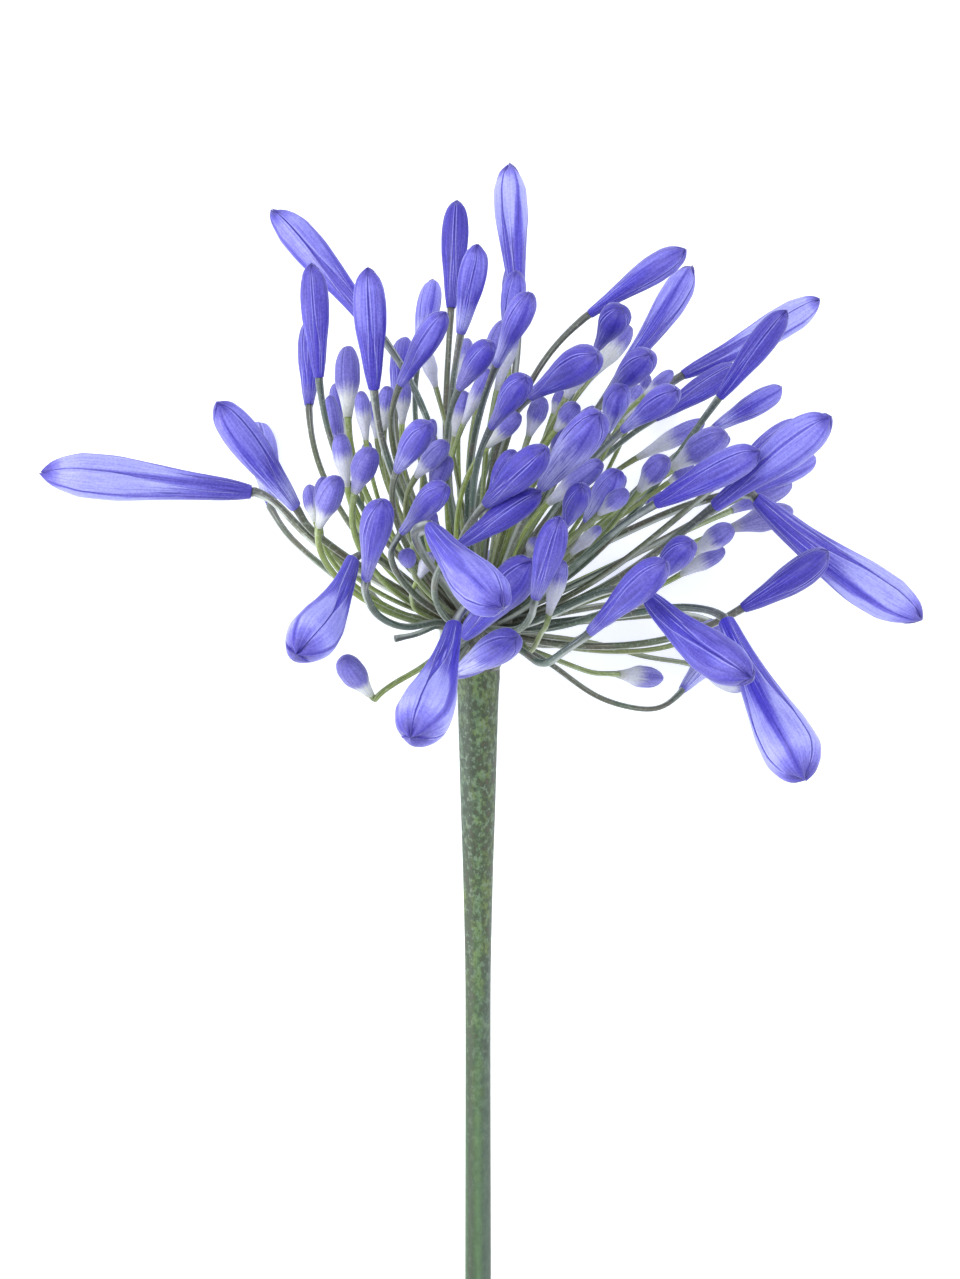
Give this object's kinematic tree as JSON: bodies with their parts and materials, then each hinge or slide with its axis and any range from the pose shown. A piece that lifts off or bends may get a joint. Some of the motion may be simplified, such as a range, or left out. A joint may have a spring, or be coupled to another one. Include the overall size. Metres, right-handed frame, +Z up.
{
  "type": "agapanthus flower head in bud",
  "caption": "Cut agapanthus stem lying on its side: a round head of closed violet-blue buds on thin bending stalks that spring from the tip of one leafless stem.",
  "frame": {"origin": "on the surface that the flower lies on, under the middle of its bounding box", "axes": "+Z up from the surface, -Y along the stem from the head to its cut end, +X to the right when the head is up the page"},
  "size_m": [0.1772, 0.39, 0.1503],
  "materials": {
    "scape": "satin",
    "stalk": "satin",
    "petal": "satin"
  },
  "bodies": {
    "root": {"scape": "scape", "umbel": "stalk", "bud_01": "petal", "bud_02": "petal", "bud_03": "petal", "bud_04": "petal", "bud_05": "petal", "bud_07": "petal", "bud_10": "petal", "bud_105": "petal", "bud_106": "petal", "bud_108": "petal", "bud_109": "petal", "bud_110": "petal", "bud_111": "petal", "bud_113": "petal", "bud_119": "petal", "bud_13": "petal", "bud_14": "petal", "bud_15": "petal", "bud_17": "petal", "bud_20": "petal", "bud_26": "petal", "bud_28": "petal", "bud_29": "petal", "bud_30": "petal", "bud_31": "petal", "bud_32": "petal", "bud_33": "petal", "bud_35": "petal", "bud_47": "petal", "bud_49": "petal", "bud_52": "petal", "bud_53": "petal", "bud_54": "petal", "bud_55": "petal", "bud_56": "petal", "bud_58": "petal", "bud_61": "petal", "bud_62": "petal", "bud_64": "petal", "bud_65": "petal", "bud_66": "petal", "bud_67": "petal", "bud_70": "petal", "bud_71": "petal", "bud_75": "petal", "bud_78": "petal", "bud_81": "petal", "bud_83": "petal", "bud_87": "petal", "bud_88": "petal", "bud_89": "petal", "bud_91": "petal", "bud_95": "petal", "bud_96": "petal", "bud_97": "petal", "bud_98": "petal", "bud_99": "petal"}
  },
  "joints": []
}
